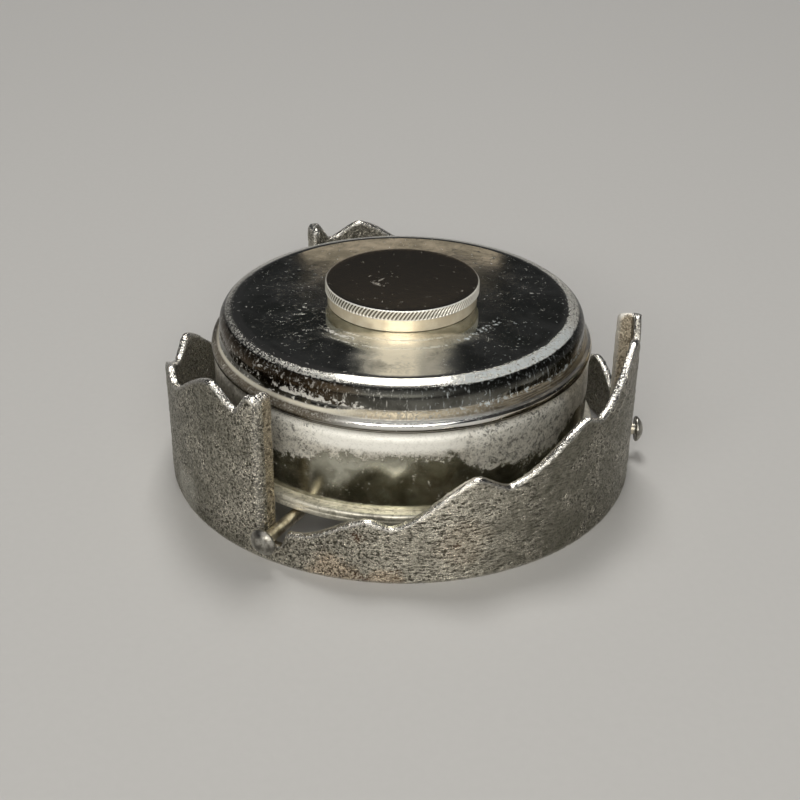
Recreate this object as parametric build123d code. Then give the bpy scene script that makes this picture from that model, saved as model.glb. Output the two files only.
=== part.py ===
from build123d import *
import math
import os

# Small spirit burner held in a stepped stand ring.
# Millimetres. The origin is the centre of the ring's flat foot, +Z is up, and arm_1 points along +X.

# Stand ring: a thin cast wall with three stepped ramps, one for each arm
ring_wall = 1.5
post_height = 32.0
floor_height = 4.15
foot_chamfer = 0.3
sector_count = 3

# Flange at the end of each ramp's post, turned in beside the next arm
flange_gap = 3.0
flange_reach = 4.4
flange_wall = 1.5
flange_side_gap = 0.3
flange_bend_r = 1.5
flange_tip_rounding = 1.3

# Top edge of a ramp, as angles from its arm and heights above the foot
post_corner_angle = 1.7
post_corner_drop = 1.3
post_corner_sections = 3
lip_angle = 4.5
lip_height = 7.3
lip_end_angle = 7.4
lip_end_height = 7.6
floor_end_angle = 2.9
# Each step of a ramp: crest angle, crest height, notch angle, notch height
steps = [
    (23.2, 12.9, 28.4, 11.4),
    (47.4, 20.4, 54.9, 17.6),
    (77.1, 25.2, 81.8, 23.4),
    (103.0, 31.6, 111.5, 28.4),
]
post_top_angle = 114.6
ramp_ease_ratio = 0.6
section_angle = 1.6

# Arms and their swivelling hub
arm_r = 1.15
arm_seat_gap = 0.1
arm_root_r = 5.1
arm_head_r = 2.5
arm_head_gap = 1.5
arm_head_rim = 0.45
arm_head_dome = 1.15
hub_r = 11.0
hub_wall = 0.45
hub_chamfer = 0.5
socket_clearance = 0.02
socket_end_clearance = 0.1

# Rivet and spacer that carry the hub under the base
rivet_r = 1.8
rivet_head_r = 4.0
rivet_head_height = 1.25
rivet_clinch_r = 3.0
rivet_clinch_height = 1.1
head_round_ratio = 0.7
rivet_fit = 0.02
pivot_clearance = 0.06
pivot_end_clearance = 0.05
spacer_r = 5.0
spacer_height = 0.55

# Fuel can and its crimped base
sheet = 0.5
can_outer_r = 35.8
can_shoulder_height = 17.45
can_shoulder_rounding = 0.8
collar_height = 6.0
rim_reach = 1.8
rim_height = 2.4
rim_rounding = 1.05
rim_gap = 0.2
seam_clearance = 0.05

# Cover that slips over the can's collar
cover_clearance = 0.1
cover_seat_gap = 0.3
cover_height = 8.5
cover_rounding = 2.6
hem_overhang = 0.35
hem_reach = 1.65
hem_height = 2.3
hem_foot_rounding = 1.05
hem_top_rounding = 0.85
cove_height = 1.6
cove_foot = 0.7

# Threaded neck, wick gauze and wadding
neck_bore_r = 11.6
neck_wall = 1.1
neck_height = 2.6
neck_depth = 2.5
neck_ledge = 0.8
neck_ledge_height = 0.5
neck_flange_r = 16.0
neck_flange_height = 0.8
neck_hole_clearance = 0.02
gauze_height = 0.3
gauze_clearance = 0.08
gauze_seat = 0.05
snap_ring_width = 0.8
snap_ring_height = 0.6
wadding_side_gap = 0.3
wadding_bottom_gap = 0.1
wadding_top_gap = 0.3
wadding_pocket_gap = 0.4

# Screw cap
thread_pitch = 1.5
thread_depth = 0.4
thread_base = 0.6
thread_crest = 0.25
thread_clearance = 0.15
thread_turns = 1.0
thread_root = 0.05
thread_start = 0.6
cap_thread_phase = 160
cap_knurl_r = 14.5
cap_knurl_height = 1.9
cap_knurl_rounding = 0.45
cap_skirt_r = 14.1
cap_foot_gap = 0.2
cap_plate = 0.8
washer_height = 0.8
washer_clearance = 0.3

# Places worked out from the sizes above
rim_outer_r = can_outer_r + rim_reach
hem_outer_r = can_outer_r + hem_overhang
flange_inner_r = rim_outer_r + flange_gap
ring_outer_r = flange_inner_r + flange_reach
ring_inner_r = ring_outer_r - ring_wall
sector_angle = 360 / sector_count
post_face_offset = arm_r + flange_side_gap
post_end_angle = sector_angle - math.degrees(math.asin(post_face_offset / ring_outer_r))
arm_z = floor_height + arm_seat_gap + arm_r
hub_bottom = arm_z - arm_r - hub_wall
hub_top = arm_z + arm_r + hub_wall
spacer_bottom = hub_top + pivot_end_clearance
base_bottom = spacer_bottom + spacer_height
base_top = base_bottom + sheet
rim_bottom = arm_z + arm_r + rim_gap
rim_top = rim_bottom + rim_height
can_bottom = rim_bottom + sheet + seam_clearance
can_inner_r = can_outer_r - sheet
shoulder_z = rim_bottom + can_shoulder_height
hem_bottom = shoulder_z + cover_seat_gap
cover_top = hem_bottom + cover_height
cover_under = cover_top - sheet
skirt_outer_r = hem_outer_r - hem_reach
skirt_inner_r = skirt_outer_r - sheet
collar_outer_r = skirt_inner_r - cover_clearance
collar_inner_r = collar_outer_r - sheet
collar_top = shoulder_z + collar_height
neck_outer_r = neck_bore_r + neck_wall
neck_top = cover_top + neck_height
neck_bottom = cover_under - neck_depth
gauze_z = neck_bottom + neck_ledge_height + gauze_seat
snap_ring_z = gauze_z + gauze_height + gauze_seat
wadding_r = collar_inner_r - wadding_side_gap
wadding_bottom = base_top + wadding_bottom_gap
wadding_top = neck_bottom - wadding_top_gap
washer_z = neck_top + pivot_end_clearance
cap_under = washer_z + washer_height + pivot_end_clearance
cap_top = cap_under + cap_plate
cap_bore_r = neck_outer_r + thread_depth + thread_clearance
knurl_bottom = cap_top - cap_knurl_height


def turned(points, rounds=()):
    """A solid turned about Z from corners given as (radius, height), with some corners rounded."""
    face = make_face(Polyline(*points, close=True))
    for corner, radius in rounds:
        vertex = face.vertices().sort_by_distance((*points[corner], 0))[0]
        face = fillet(vertex, radius)
    return revolve(Plane.XZ * face, Axis.Z)


def tube(inner_r, outer_r, bottom, top):
    """A plain ring, or a disc where the inner radius is 0."""
    return turned([(inner_r, bottom), (outer_r, bottom), (outer_r, top), (inner_r, top)])


def blend(start, end, share):
    """The height part of the way from one ramp point to the next, flattened at both ends."""
    curve = (1 - math.cos(math.pi * share)) / 2
    level = (1 - ramp_ease_ratio) * share + ramp_ease_ratio * curve
    return start + (end - start) * level


def ramp_points():
    """Corners of one ramp as (angle, height), from the arm's seat up to the post."""
    points = [(floor_end_angle, floor_height), (lip_angle, lip_height), (lip_end_angle, lip_end_height)]
    for crest_angle, crest_height, notch_angle, notch_height in steps:
        points += [(crest_angle, crest_height), (notch_angle, notch_height)]
    points += [(post_top_angle, post_height), (post_end_angle - post_corner_angle, post_height)]
    return points


def ramp_profile():
    """The whole top edge of one sector, as closely spaced (angle, height) pairs."""
    points = ramp_points()
    profile = []
    for (a0, z0), (a1, z1) in zip(points, points[1:]):
        count = max(1, math.ceil((a1 - a0) / section_angle))
        straight = a1 <= lip_end_angle or z0 == z1
        for i in range(count):
            share = i / count
            height = z0 + (z1 - z0) * share if straight else blend(z0, z1, share)
            profile.append((a0 + (a1 - a0) * share, height))
    start_angle = points[-1][0]
    for i in range(post_corner_sections + 1):
        turn = math.pi / 2 * i / post_corner_sections
        drop = post_corner_drop * (1 - math.cos(turn))
        profile.append((start_angle + post_corner_angle * math.sin(turn), post_height - drop))
    profile.append((sector_angle, post_height - post_corner_drop))
    return profile


def plan_point(radius, angle):
    """A point in plan, given by its radius and its angle."""
    return Vector(radius, 0, 0).rotate(Axis.Z, angle)


def ramp_section(angle, height):
    """A radial section that reaches past the flange and the wall, so that their plan can trim it."""
    inner, outer = flange_inner_r - ring_wall, ring_outer_r + ring_wall
    corners = [plan_point(inner, angle), plan_point(outer, angle)]
    corners += [point + Vector(0, 0, height) for point in reversed(corners)]
    return Wire.make_polygon(corners, close=True)


def ramp_plan():
    """The plan of one ramp: its curved wall, and the flange turned in with its face along the next arm."""
    face_y = -post_face_offset
    back_y = face_y - flange_wall
    root_x = flange_inner_r - flange_wall
    bend = Vector(math.sqrt(ring_outer_r**2 - face_y**2), face_y)
    inner_bend = Vector(math.sqrt(ring_inner_r**2 - back_y**2), back_y)
    start = floor_end_angle - sector_angle
    outer_arc = ThreePointArc(plan_point(ring_outer_r, start), plan_point(ring_outer_r, start / 2), bend)
    inner_end = plan_point(ring_inner_r, start)
    inner_arc = ThreePointArc(inner_bend, plan_point(ring_inner_r, start / 2), inner_end)
    flange = Polyline(bend, (root_x, face_y), (root_x, back_y), inner_bend)
    face = make_face([outer_arc, flange, inner_arc, Line(inner_arc @ 1, outer_arc @ 0)])
    corner = face.vertices().sort_by_distance(bend)[0]
    return Rot(0, 0, sector_angle) * fillet(corner, flange_bend_r)


def stand_ring():
    """A low ring with a flat foot, under three stepped ramps that each end in a flanged post."""
    band = tube(ring_inner_r, ring_outer_r, 0, floor_height)
    reach = [(flange_inner_r, 0), (ring_outer_r + ring_wall, 0), (ring_outer_r + ring_wall, post_height)]
    reach = turned(reach + [(flange_inner_r, post_height)], [(3, flange_tip_rounding)])
    sections = [ramp_section(angle, height) for angle, height in ramp_profile()]
    ramp = extrude(ramp_plan(), post_height) & reach & Solid.make_loft(sections, ruled=True)
    ring = band.fuse(*[Rot(0, 0, i * sector_angle) * ramp for i in range(sector_count)])
    foot = ring.edges().filter_by(GeomType.CIRCLE).group_by(Axis.Z)[0].group_by(SortBy.RADIUS)[-1]
    return chamfer(foot, foot_chamfer)


def arm(index):
    """A round arm with a domed finger head outside the ring."""
    head_x = ring_outer_r + arm_head_gap
    rim_x = head_x + arm_head_rim
    tip_x = rim_x + arm_head_dome
    dome_r = (arm_head_r**2 + arm_head_dome**2) / (2 * arm_head_dome)
    corners = [(arm_root_r, 0), (arm_root_r, arm_r), (head_x, arm_r)]
    corners += [(head_x, arm_head_r), (rim_x, arm_head_r)]
    dome = RadiusArc((rim_x, arm_head_r), (tip_x, 0), dome_r)
    outline = make_face([Polyline(*corners), dome, Line((tip_x, 0), (arm_root_r, 0))])
    return Rot(0, 0, index * sector_angle) * Pos(0, 0, arm_z) * revolve(outline, Axis.X)


def arm_hub():
    """A round plate with a pivot hole and one radial socket for each arm."""
    hub = tube(rivet_r + pivot_clearance, hub_r, hub_bottom, hub_top)
    hub = chamfer(hub.edges().filter_by(GeomType.CIRCLE).group_by(SortBy.RADIUS)[-1], hub_chamfer)
    socket = Cylinder(arm_r + socket_clearance, hub_r, align=(Align.CENTER, Align.CENTER, Align.MIN))
    socket = Pos(arm_root_r - socket_end_clearance, 0, arm_z) * Rot(0, 90, 0) * socket
    for i in range(sector_count):
        hub -= Rot(0, 0, i * sector_angle) * socket
    return hub


def hub_rivet():
    """The pivot rivet: a domed head below the hub, and a clinched head inside the can."""
    head_top = hub_bottom - pivot_end_clearance
    head_bottom = head_top - rivet_head_height
    points = [(0, head_bottom), (rivet_head_r, head_bottom), (rivet_head_r, head_top), (rivet_r, head_top)]
    points += [(rivet_r, base_top), (rivet_clinch_r, base_top)]
    points += [(rivet_clinch_r, base_top + rivet_clinch_height), (0, base_top + rivet_clinch_height)]
    head_rounding = rivet_head_height * head_round_ratio
    clinch_rounding = rivet_clinch_height * head_round_ratio
    return turned(points, [(1, head_rounding), (6, clinch_rounding)])


def hub_spacer():
    """A washer between the hub and the can's base."""
    return tube(rivet_r + rivet_fit, spacer_r, spacer_bottom, base_bottom)


def base_disc():
    """The can's base, with its edge rolled round the can's foot."""
    channel_r = can_inner_r - seam_clearance
    lip_r = can_outer_r + seam_clearance
    points = [(rivet_r + rivet_fit, base_bottom), (channel_r - sheet, base_bottom)]
    points += [(channel_r - sheet, rim_bottom), (rim_outer_r, rim_bottom), (rim_outer_r, rim_top)]
    points += [(lip_r, rim_top), (lip_r, rim_top - sheet), (rim_outer_r - sheet, rim_top - sheet)]
    points += [(rim_outer_r - sheet, rim_bottom + sheet), (channel_r, rim_bottom + sheet)]
    points += [(channel_r, base_top), (rivet_r + rivet_fit, base_top)]
    inner_rounding = rim_rounding - sheet
    return turned(points, [(3, rim_rounding), (4, rim_rounding), (7, inner_rounding), (8, inner_rounding)])


def burner_can():
    """The can's wall: a flanged foot, a rounded shoulder and a collar for the cover."""
    flange_r = rim_outer_r - sheet - rim_rounding / 2
    flange_top = can_bottom + sheet
    points = [(can_inner_r, can_bottom), (flange_r, can_bottom)]
    points += [(flange_r, flange_top), (can_outer_r, flange_top)]
    points += [(can_outer_r, shoulder_z), (collar_outer_r, shoulder_z), (collar_outer_r, collar_top)]
    points += [(collar_inner_r, collar_top), (collar_inner_r, shoulder_z - sheet)]
    points += [(can_inner_r, shoulder_z - sheet)]
    return turned(points, [(4, can_shoulder_rounding), (9, can_shoulder_rounding - sheet)])


def wadding():
    """The absorbent filling, cut away over the rivet's clinched head."""
    filling = tube(0, wadding_r, wadding_bottom, wadding_top)
    pocket_top = base_top + rivet_clinch_height + wadding_pocket_gap
    return filling - tube(0, rivet_clinch_r + wadding_pocket_gap, base_bottom, pocket_top)


def top_cover():
    """The slip-on cover: flat top, rounded shoulder, skirt, cove and rolled hem."""
    hole_r = neck_outer_r + neck_hole_clearance
    hem_top = hem_bottom + hem_height
    cove_top = hem_top + cove_height
    points = [(hole_r, cover_top), (skirt_outer_r, cover_top), (skirt_outer_r, cove_top)]
    points += [(skirt_outer_r + cove_foot, hem_top), (hem_outer_r, hem_top), (hem_outer_r, hem_bottom)]
    points += [(skirt_inner_r, hem_bottom), (skirt_inner_r, cover_under), (hole_r, cover_under)]
    rounds = [(1, cover_rounding), (2, cove_height), (4, hem_top_rounding), (5, hem_foot_rounding)]
    return turned(points, rounds + [(7, cover_rounding - sheet)])


def thread(radius, height, bottom, phase, outward):
    """One helical ridge, rooted slightly into the wall that carries it."""
    side = 1 if outward else -1
    root = radius - side * thread_root
    crest = radius + side * thread_depth
    half_root, half_crest = thread_base / 2, thread_crest / 2
    corners = [(root, -half_root), (crest, -half_crest), (crest, half_crest), (root, half_root)]
    path = Helix(thread_pitch, height, radius)
    face = Plane.XZ * make_face(Polyline(*corners, close=True))
    ridge = sweep(face, path, is_frenet=True)
    return Pos(0, 0, bottom) * Rot(0, 0, phase) * ridge


def neck():
    """The threaded neck: a flange under the cover, a ledge for the gauze and one turn of thread."""
    flange_bottom = cover_under - neck_flange_height
    ledge_r = neck_bore_r - neck_ledge
    points = [(ledge_r, neck_bottom), (neck_outer_r, neck_bottom), (neck_outer_r, flange_bottom)]
    points += [(neck_flange_r, flange_bottom), (neck_flange_r, cover_under), (neck_outer_r, cover_under)]
    points += [(neck_outer_r, neck_top), (neck_bore_r, neck_top)]
    points += [(neck_bore_r, neck_bottom + neck_ledge_height), (ledge_r, neck_bottom + neck_ledge_height)]
    body = turned(points)
    ridge = thread(neck_outer_r, thread_pitch * thread_turns, cover_top + thread_start, 0, True)
    return body + ridge


def gauze_disc():
    """The wick gauze, as a thin disc on the neck's ledge."""
    return tube(0, neck_bore_r - gauze_clearance, gauze_z, gauze_z + gauze_height)


def gauze_ring():
    """The ring that holds the gauze down."""
    outer_r = neck_bore_r - gauze_clearance
    return tube(outer_r - snap_ring_width, outer_r, snap_ring_z, snap_ring_z + snap_ring_height)


def cap_washer():
    """The sealing washer inside the cap, which lies on the neck's top edge."""
    return tube(0, cap_bore_r - washer_clearance, washer_z, washer_z + washer_height)


def screw_cap():
    """The cap: a flat top with a thick rim, a plain skirt and an inner thread."""
    foot = cover_top + cap_foot_gap
    points = [(0, cap_top), (cap_knurl_r, cap_top), (cap_knurl_r, knurl_bottom), (cap_skirt_r, knurl_bottom)]
    points += [(cap_skirt_r, foot), (cap_bore_r, foot), (cap_bore_r, cap_under), (0, cap_under)]
    body = turned(points, [(1, cap_knurl_rounding)])
    bottom = cover_top + thread_start - thread_pitch / 2 + thread_pitch * cap_thread_phase / 360
    ridge = thread(cap_bore_r, thread_pitch * thread_turns, bottom, cap_thread_phase, False)
    return body + ridge


parts = {
    "stand_ring": stand_ring(),
    "arm_hub": arm_hub(),
    "hub_rivet": hub_rivet(),
    "hub_spacer": hub_spacer(),
    "base_disc": base_disc(),
    "burner_can": burner_can(),
    "wadding": wadding(),
    "top_cover": top_cover(),
    "neck": neck(),
    "gauze_disc": gauze_disc(),
    "gauze_ring": gauze_ring(),
    "cap_washer": cap_washer(),
    "screw_cap": screw_cap(),
}
for index in range(sector_count):
    parts[f"arm_{index + 1}"] = arm(index)

os.makedirs("parts", exist_ok=True)
for node, shape in parts.items():
    export_step(shape, f"parts/{node}.step")
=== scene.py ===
import math
import bmesh
import bpy
import numpy as np
from mathutils import Matrix, Vector, noise


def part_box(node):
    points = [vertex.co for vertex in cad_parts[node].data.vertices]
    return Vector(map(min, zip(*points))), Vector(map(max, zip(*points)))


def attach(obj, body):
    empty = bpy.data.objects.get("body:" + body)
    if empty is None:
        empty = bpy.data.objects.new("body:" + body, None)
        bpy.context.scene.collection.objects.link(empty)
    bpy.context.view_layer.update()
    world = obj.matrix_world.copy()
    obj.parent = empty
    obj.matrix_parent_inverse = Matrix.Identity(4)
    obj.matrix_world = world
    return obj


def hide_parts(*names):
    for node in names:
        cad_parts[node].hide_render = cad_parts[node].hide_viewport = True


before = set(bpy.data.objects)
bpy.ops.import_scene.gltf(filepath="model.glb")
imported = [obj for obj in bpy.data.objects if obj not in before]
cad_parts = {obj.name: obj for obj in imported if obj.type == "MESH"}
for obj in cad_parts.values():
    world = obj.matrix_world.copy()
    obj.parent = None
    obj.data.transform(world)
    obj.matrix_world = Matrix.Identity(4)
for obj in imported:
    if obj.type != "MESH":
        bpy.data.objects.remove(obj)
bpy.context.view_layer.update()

# Outlines are written in millimetres and turned into metres when a mesh is made
MM = 0.001
TURN = 2 * math.pi
ON_AXIS = 1e-6

# Wall thicknesses, the arms' heads and the cap's thread, as on the frame's solids
SHEET = 0.5
RING_WALL = 1.5
ARM_COUNT = 3
HEAD_RIM = 0.45
HEAD_DOME = 1.15
THREAD_PITCH = 1.5

# Camera that matches the photograph: angles in degrees, distance and shifts as multiples of the radius
CAMERA_TARGET_R = 0.045
CAMERA_ELEVATION = 29.31
CAMERA_ROLL = 0.614
CAMERA_TURN = 0.3
CAMERA_DISTANCE = 5.9819
CAMERA_SHIFT_RIGHT = 0.00217
CAMERA_SHIFT_UP = -0.21693
CAMERA_FOCAL_PIXELS = 1339.2
IMAGE_PIXELS = 800
SENSOR_WIDTH = 36

# Floor and light
FLOOR_SIZE = 8.0
FLOOR_COLOUR = (0.62, 0.61, 0.59)
FLOOR_SPECK_SHADE = 0.96
# The sky is pale up to the first of these sines of elevation, and dim from the second on
HORIZON_COLOUR = (0.4, 0.395, 0.385)
WORLD_COLOUR = (0.035, 0.036, 0.038)
HORIZON_HEIGHTS = (0.06, 0.2)
# Past the lamps the floor turns as pale as the horizon, between these distances in millimetres
FAR_FLOOR = (250, 1500)
# Each lamp: width and height, azimuth and elevation from the object, distance, radiance, colour
LAMPS = {
    "key": ((0.3, 0.37), 92, 67.5, 1.0, 11.5, (1.0, 0.985, 0.96)),
    "fill": ((1.5, 0.8), -98, 42, 1.2, 1.75, (1.0, 0.985, 0.96)),
    "spark": ((0.76, 0.11), -94, 26, 1.2, 18.0, (1.0, 0.97, 0.9)),
    "card": ((0.26, 0.055), 90.3, 23.4, 1.514, 0.56, (1.0, 0.82, 0.62)),
}

# Mesh fineness
SEGMENTS = 512
ARC_STEP_DEGREES = 12
SMALL_ROUNDING = 0.22
SMALL_ARC_STEP_DEGREES = 30
RUN_STEP = 1.4
EDGE_SUPPORT = 0.12


def on_circle(radius, azimuth, height):
    """A point from its distance and azimuth about Z, and its height."""
    angle = math.radians(azimuth)
    return radius * math.cos(angle), radius * math.sin(angle), height


# Meshes

def rounded(corners, run_step):
    """Outline points from (r, z, rounding) corners: arcs at the corners, and even steps between them.

    A fourth value is the step after that corner, where it isn't the usual one.
    """
    count = len(corners)
    points = []
    for i, (r, z, rounding, *_) in enumerate(corners):
        here = np.array((r, z))
        if not rounding:
            points.append([here])
            continue
        before = np.array(corners[i - 1][:2]) - here
        after = np.array(corners[(i + 1) % count][:2]) - here
        before /= np.linalg.norm(before)
        after /= np.linalg.norm(after)
        half = math.acos(max(-1, min(1, before @ after))) / 2
        centre = here + (before + after) / np.linalg.norm(before + after) * rounding / math.sin(half)
        start = here + before * rounding / math.tan(half)
        end = here + after * rounding / math.tan(half)
        sweep = math.pi - 2 * half
        arc_step = ARC_STEP_DEGREES if rounding > SMALL_ROUNDING else SMALL_ARC_STEP_DEGREES
        steps = max(3, math.ceil(math.degrees(sweep) / arc_step))
        a, b = start - centre, end - centre
        shares = [j / steps for j in range(steps + 1)]
        arc = [(a * math.sin((1 - t) * sweep) + b * math.sin(t * sweep)) / math.sin(sweep) for t in shares]
        points.append([centre + offset for offset in arc])
    outline = []
    for i, group in enumerate(points):
        outline += group
        end, start = group[-1], points[(i + 1) % count][0]
        gap = np.linalg.norm(start - end)
        if gap < 3 * EDGE_SUPPORT or max(end[0], start[0]) < ON_AXIS:
            continue
        along = (start - end) / gap
        inner = gap - 2 * EDGE_SUPPORT
        run = corners[i][3] if len(corners[i]) > 3 else run_step
        steps = max(1, math.ceil(inner / run))
        outline += [end + along * (EDGE_SUPPORT + inner * j / steps) for j in range(steps + 1)]
    return outline


def make_object(name, vertices, faces):
    """A smooth-shaded mesh object from vertices in millimetres."""
    mesh = bpy.data.meshes.new(name)
    mesh.from_pydata((np.asarray(vertices) * MM).tolist(), [], faces)
    mesh.update()
    mesh.polygons.foreach_set("use_smooth", [True] * len(mesh.polygons))
    obj = bpy.data.objects.new(name, mesh)
    bpy.context.scene.collection.objects.link(obj)
    return obj


def lathe(name, corners, segments=SEGMENTS, run_step=RUN_STEP):
    """A closed solid turned about Z from an outline that runs anticlockwise in the (r, z) plane."""
    outline = rounded(corners, run_step)
    angles = np.arange(segments) * TURN / segments
    vertices, rings = [], []
    for r, z in outline:
        first = len(vertices)
        if r < ON_AXIS:
            vertices.append((0, 0, z))
            rings.append([first] * segments)
        else:
            vertices += [(r * math.cos(a), r * math.sin(a), z) for a in angles]
            rings.append(list(range(first, first + segments)))
    faces = []
    for low, high in zip(rings, rings[1:] + rings[:1]):
        if low[0] == low[1] and high[0] == high[1]:
            continue
        for i in range(segments):
            j = (i + 1) % segments
            quad = [low[i], low[j], high[j], high[i]]
            faces.append([v for k, v in enumerate(quad) if v != quad[k - 1]])
    return make_object(name, vertices, faces)


def get_points(obj):
    """The mesh's vertices in millimetres."""
    points = np.empty(len(obj.data.vertices) * 3)
    obj.data.vertices.foreach_get("co", points)
    return points.reshape(-1, 3) / MM


def set_points(obj, points):
    """Puts vertices back, given in millimetres."""
    obj.data.vertices.foreach_set("co", (points * MM).ravel())
    obj.data.update()


def get_normals(obj):
    """The mesh's vertex normals."""
    normals = np.empty(len(obj.data.vertices) * 3)
    obj.data.vertex_normals.foreach_get("vector", normals)
    return normals.reshape(-1, 3)


def plan_radius(points):
    """Each point's distance from the axis."""
    return np.hypot(points[:, 0], points[:, 1])


def push_out(obj, points, push):
    """Puts vertices back after moving each away from the axis by its own push, in millimetres."""
    points[:, :2] *= (1 + push / np.maximum(plan_radius(points), ON_AXIS))[:, None]
    set_points(obj, points)


def wave(points, size, seed):
    """Smooth noise from about -1 to 1 at each point, whose bumps are about size across."""
    shift = Vector((seed * 17.3, seed * 5.1, seed * 9.7))
    return np.array([noise.noise(Vector(p) / size + shift) for p in points])


def plan_wave(points, size, seed):
    """Noise that depends on the plan position alone, so both faces of a sheet move together."""
    flat = points.copy()
    flat[:, 2] = 0
    return wave(flat, size, seed)


def dent_wall(obj, low, high, depth, size, seed):
    """Moves a wall in and out between two heights, fading to nothing at both."""
    points = get_points(obj)
    share = np.clip((points[:, 2] - low) / (high - low), 0, 1)
    fade = np.sin(share * math.pi)
    radius = np.maximum(plan_radius(points), ON_AXIS)
    at_wall = points.copy()
    at_wall[:, :2] *= (radius.max() / radius)[:, None]
    push_out(obj, points, depth * fade * wave(at_wall, size, seed))


def dent_top(obj, above, inner, outer, depth, size, seed):
    """Moves a flat top up and down above a height, fading to nothing at two radii."""
    points = get_points(obj)
    radius = plan_radius(points)
    share = np.clip((radius - inner) / (outer - inner), 0, 1)
    fade = np.sin(share * math.pi) * (points[:, 2] > above)
    points[:, 2] += depth * fade * plan_wave(points, size, seed)
    set_points(obj, points)


# Pieces

def place(obj, body, slot, *nodes, finish=None):
    """Gives a piece its body and a finish, the slot's unless another is named, and hides the CAD nodes that
    it stands for.
    """
    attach(obj, body)
    if nodes:
        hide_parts(*nodes)
    give_finish(obj, finish or slot)


def give_finish(obj, finish):
    """Gives an object one material, and no other."""
    obj.data.materials.clear()
    obj.data.materials.append(MATERIALS[finish])


def node_sizes(node):
    """Outer radius, lowest and highest z of a turned CAD node, in millimetres."""
    low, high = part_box(node)
    return (high.x - low.x) / 2 / MM, low.z / MM, high.z / MM


def make_can():
    """The fuel can's wall: foot flange inside the rolled rim, wall, shoulder and collar."""
    flange_r, bottom, top = node_sizes("burner_can")
    wall_r = 35.8
    collar_r = 33.9
    collar_height = 6.0
    shoulder_z = top - collar_height
    corners = [
        (wall_r - SHEET, bottom, 0.1),
        (flange_r, bottom, 0.1),
        (flange_r, bottom + SHEET, 0.1),
        (wall_r, bottom + SHEET, 0.15),
        (wall_r, shoulder_z, 1.55),
        (collar_r, shoulder_z, 0.2),
        (collar_r, top, 0.2),
        (collar_r - SHEET, top, 0.2),
        (collar_r - SHEET, shoulder_z - SHEET, 0.2),
        (wall_r - SHEET, shoulder_z - SHEET, 1.1),
    ]
    can = lathe("can_wall", corners)
    low, high = bottom + 2, shoulder_z - SHEET
    dent_wall(can, low, high, depth=0.10, size=14, seed=3)
    dent_wall(can, low, high, depth=0.05, size=6, seed=4)
    return can


def make_base():
    """The can's base, its edge rolled round the can's foot."""
    rim_r, rim_bottom, rim_top = node_sizes("base_disc")
    base_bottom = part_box("hub_spacer")[1].z / MM
    base_top = base_bottom + SHEET
    hole_r = 1.82
    channel_r = 35.25
    lip_r = 35.85
    line_z = rim_bottom + 1.3
    line_depth = 0.13
    line_half = 0.25
    corners = [
        (hole_r, base_bottom, 0.1),
        (channel_r - SHEET, base_bottom, 0.3),
        (channel_r - SHEET, rim_bottom, 0.3),
        (rim_r, rim_bottom, 0.7),
        (rim_r, line_z - line_half, 0.2),
        (rim_r - line_depth, line_z, 0.2),
        (rim_r, line_z + line_half, 0.2),
        (rim_r, rim_top, 0.6),
        (lip_r, rim_top, 0.12),
        (lip_r, rim_top - SHEET, 0.12),
        (rim_r - SHEET, rim_top - SHEET, 0.55),
        (rim_r - SHEET, rim_bottom + SHEET, 0.55),
        (channel_r, rim_bottom + SHEET, 0.15),
        (channel_r, base_top, 0.15),
        (hole_r, base_top, 0.1),
    ]
    base = lathe("rolled_base", corners)
    dent_wall(base, rim_bottom - SHEET, rim_top + SHEET, depth=0.05, size=5, seed=5)
    return base


def make_cover():
    """The slip-on cover: flat top, rounded shoulder, skirt, cove and rolled hem over a thin edge."""
    hem_r, hem_bottom, top = node_sizes("top_cover")
    hole_r = 12.72
    hem_reach, hem_height = 1.65, 2.3
    cove_foot, cove_height = 0.7, 1.6
    brow_width, brow_drop = 3.4, 1.15
    edge_inset, edge_drop = 0.75, 0.35
    skirt_r = hem_r - hem_reach
    hem_top = hem_bottom + hem_height
    cove_top = hem_top + cove_height
    under = top - SHEET
    corners = [
        (hole_r, under, 0),
        (hole_r, top, 0.1),
        (skirt_r - brow_width, top, 6),
        (skirt_r, top - brow_drop, 2.8),
        (skirt_r, cove_top, 1.6),
        (skirt_r + cove_foot, hem_top, 0.3),
        (hem_r, hem_top, 0.85),
        (hem_r, hem_bottom + edge_drop, 0.8),
        (hem_r - edge_inset, hem_bottom + edge_drop, 0.08),
        (hem_r - edge_inset, hem_bottom, 0.1),
        (skirt_r - SHEET, hem_bottom, 0.1),
        (skirt_r - SHEET, under, 2.1),
    ]
    cover = lathe("cover_shell", corners[::-1])
    dent_top(cover, under - 2, 16.5, skirt_r - 1.5, depth=0.06, size=13, seed=7)
    dent_wall(cover, hem_top, top - 1.5, depth=0.06, size=11, seed=8)
    return cover


def knurl(obj, radius, low, high, teeth, depth, lean):
    """Cuts teeth into a rim between two heights, each leaning by lean millimetres over the rim's height."""
    low_run_out, high_run_out = 1 / 8, 1 / 5
    bow = 1.3
    rim_wall = 0.6
    points = get_points(obj)
    r = plan_radius(points)
    angle = np.arctan2(points[:, 1], points[:, 0])
    share = (points[:, 2] - low) / (high - low)
    fade = np.clip(share / low_run_out, 0, 1) * np.clip((1 - share) / high_run_out, 0, 1)
    fade = fade * (r > radius - rim_wall)
    phase = teeth * (angle - np.clip(share, 0, 1) ** bow * lean / radius)
    push_out(obj, points, -depth * fade * (0.5 - 0.5 * np.cos(phase)))


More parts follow.
